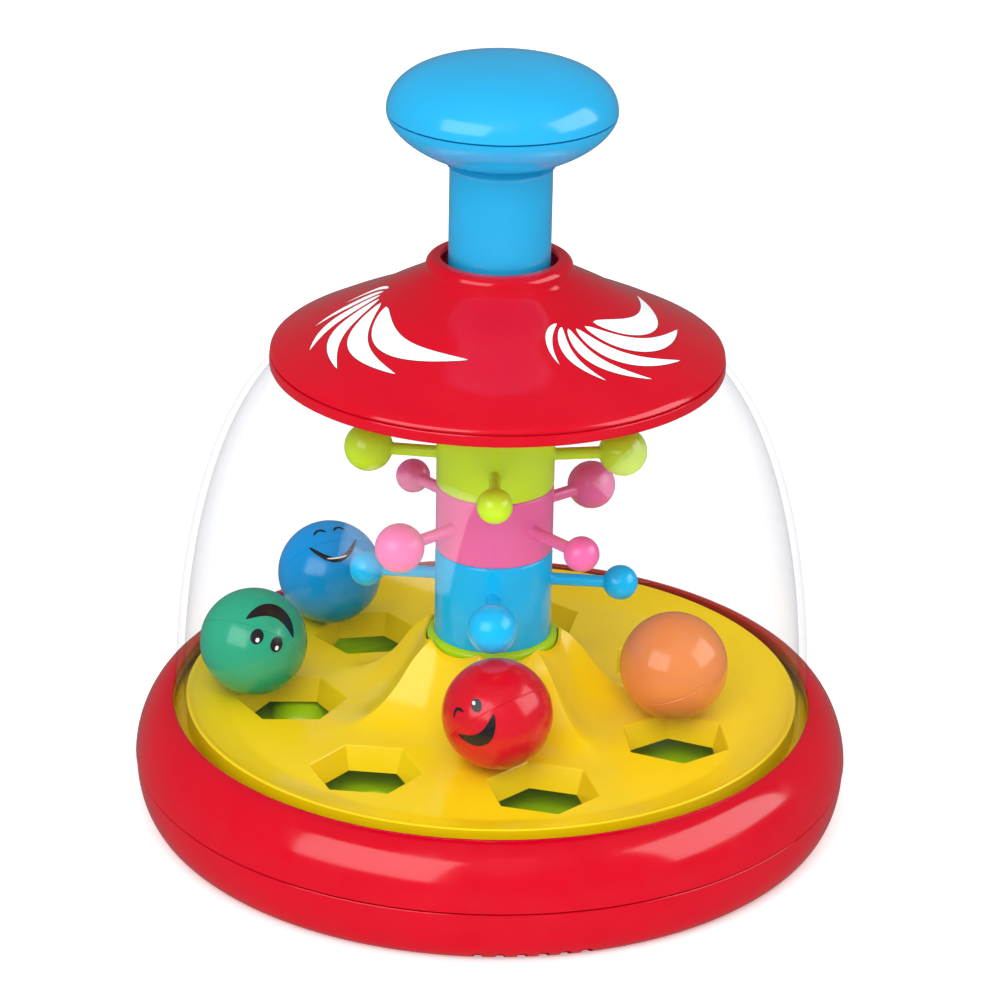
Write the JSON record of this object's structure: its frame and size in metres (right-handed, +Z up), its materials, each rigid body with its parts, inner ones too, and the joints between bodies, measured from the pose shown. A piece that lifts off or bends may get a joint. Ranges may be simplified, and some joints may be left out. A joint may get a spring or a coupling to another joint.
{
  "type": "spinning top",
  "caption": "Press-down spinning top toy: a clear dome over a scalloped tray of loose balls, a column with armed drums, a saucer-shaped cap and a push knob.",
  "frame": {"origin": "centre of the flat bottom, on the surface the toy stands on", "axes": "+Z up along the column and the plunger, -Y towards the front, +X to the right seen from the front"},
  "size_m": [0.1892, 0.1892, 0.2044],
  "materials": {
    "red_plastic": "glossy injection-moulded ABS, bright red",
    "blue_plastic": "glossy injection-moulded ABS, sky blue",
    "lime_plastic": "glossy injection-moulded ABS, lime green",
    "pink_plastic": "glossy injection-moulded ABS, pink",
    "yellow_plastic": "glossy injection-moulded ABS, warm yellow",
    "clear_plastic": "clear polished styrene, slightly reflective",
    "white_plastic": "natural white acetal, satin",
    "steel": "zinc-plated steel",
    "brass": "plain brass",
    "blue_ball_plastic": "glossy blue ball with a printed face",
    "green_ball_plastic": "glossy green ball with a printed face",
    "red_ball_plastic": "glossy red ball with a printed face",
    "orange_ball_plastic": "glossy orange ball with a printed face"
  },
  "bodies": {
    "root": {"base_lower_shell": "red_plastic", "base_upper_ring": "red_plastic", "saucer_cap": "red_plastic", "saucer_plate": "red_plastic", "ball_tray": "yellow_plastic", "dome": "clear_plastic", "stem_bush": "white_plastic", "pivot_pin": "steel", "thrust_washer": "white_plastic", "base_screw_1": "steel", "base_screw_2": "steel", "base_screw_3": "steel", "base_screw_4": "steel", "saucer_screw_1": "steel", "saucer_screw_2": "steel", "saucer_screw_3": "steel"},
    "rotor": {"rotor_disc": "lime_plastic", "rotor_bush": "brass", "spindle_tube": "white_plastic", "drum_blue": "blue_plastic", "drum_pink": "pink_plastic", "drum_lime": "lime_plastic", "clutch_ring": "white_plastic", "nut_retainer": "white_plastic", "spring_seat": "steel"},
    "nut": {"drive_nut": "white_plastic"},
    "plunger": {"knob_cap": "blue_plastic", "plunger_stem": "blue_plastic", "stem_stop_ring": "white_plastic", "twist_bar": "steel", "bar_screw": "steel", "return_spring": "steel"},
    "ball_blue": {"ball_blue": "blue_ball_plastic"},
    "ball_green": {"ball_green": "green_ball_plastic"},
    "ball_red": {"ball_red": "red_ball_plastic"},
    "ball_orange": {"ball_orange": "orange_ball_plastic"}
  },
  "joints": [
    {"name": "plunger_press", "type": "slide", "parent": "root", "child": "plunger", "axis": [0, 0, -1], "range_m": [0, 0.022], "stiffness_N_per_m": 300, "springref_m": -0.012, "deforming": ["return_spring"]},
    {"name": "nut_turn", "type": "hinge", "parent": "root", "child": "nut", "pos_m": [0, 0, 0.0975], "axis": [0, 0, 1], "range_deg": [0, 133]},
    {"name": "rotor_spin", "type": "hinge", "parent": "root", "child": "rotor", "pos_m": [0, 0, 0.0125], "axis": [0, 0, 1], "continuous": true},
    {"name": "ball_blue_hop", "type": "slide", "parent": "root", "child": "ball_blue", "axis": [0.2054, -0.2187, 0.9539], "range_m": [0, 0.018]},
    {"name": "ball_green_hop", "type": "slide", "parent": "root", "child": "ball_green", "axis": [0, 0, 1], "range_m": [0, 0.018]},
    {"name": "ball_red_hop", "type": "slide", "parent": "root", "child": "ball_red", "axis": [0.0377, -0.8992, 0.4359], "range_m": [0, 0.02]},
    {"name": "ball_orange_hop", "type": "slide", "parent": "root", "child": "ball_orange", "axis": [0.5911, -0.1032, 0.8], "range_m": [0, 0.018]}
  ],
  "couplings": [
    {"joint": "nut_turn", "follows": "plunger_press", "rad_per_m": 104.72}
  ]
}
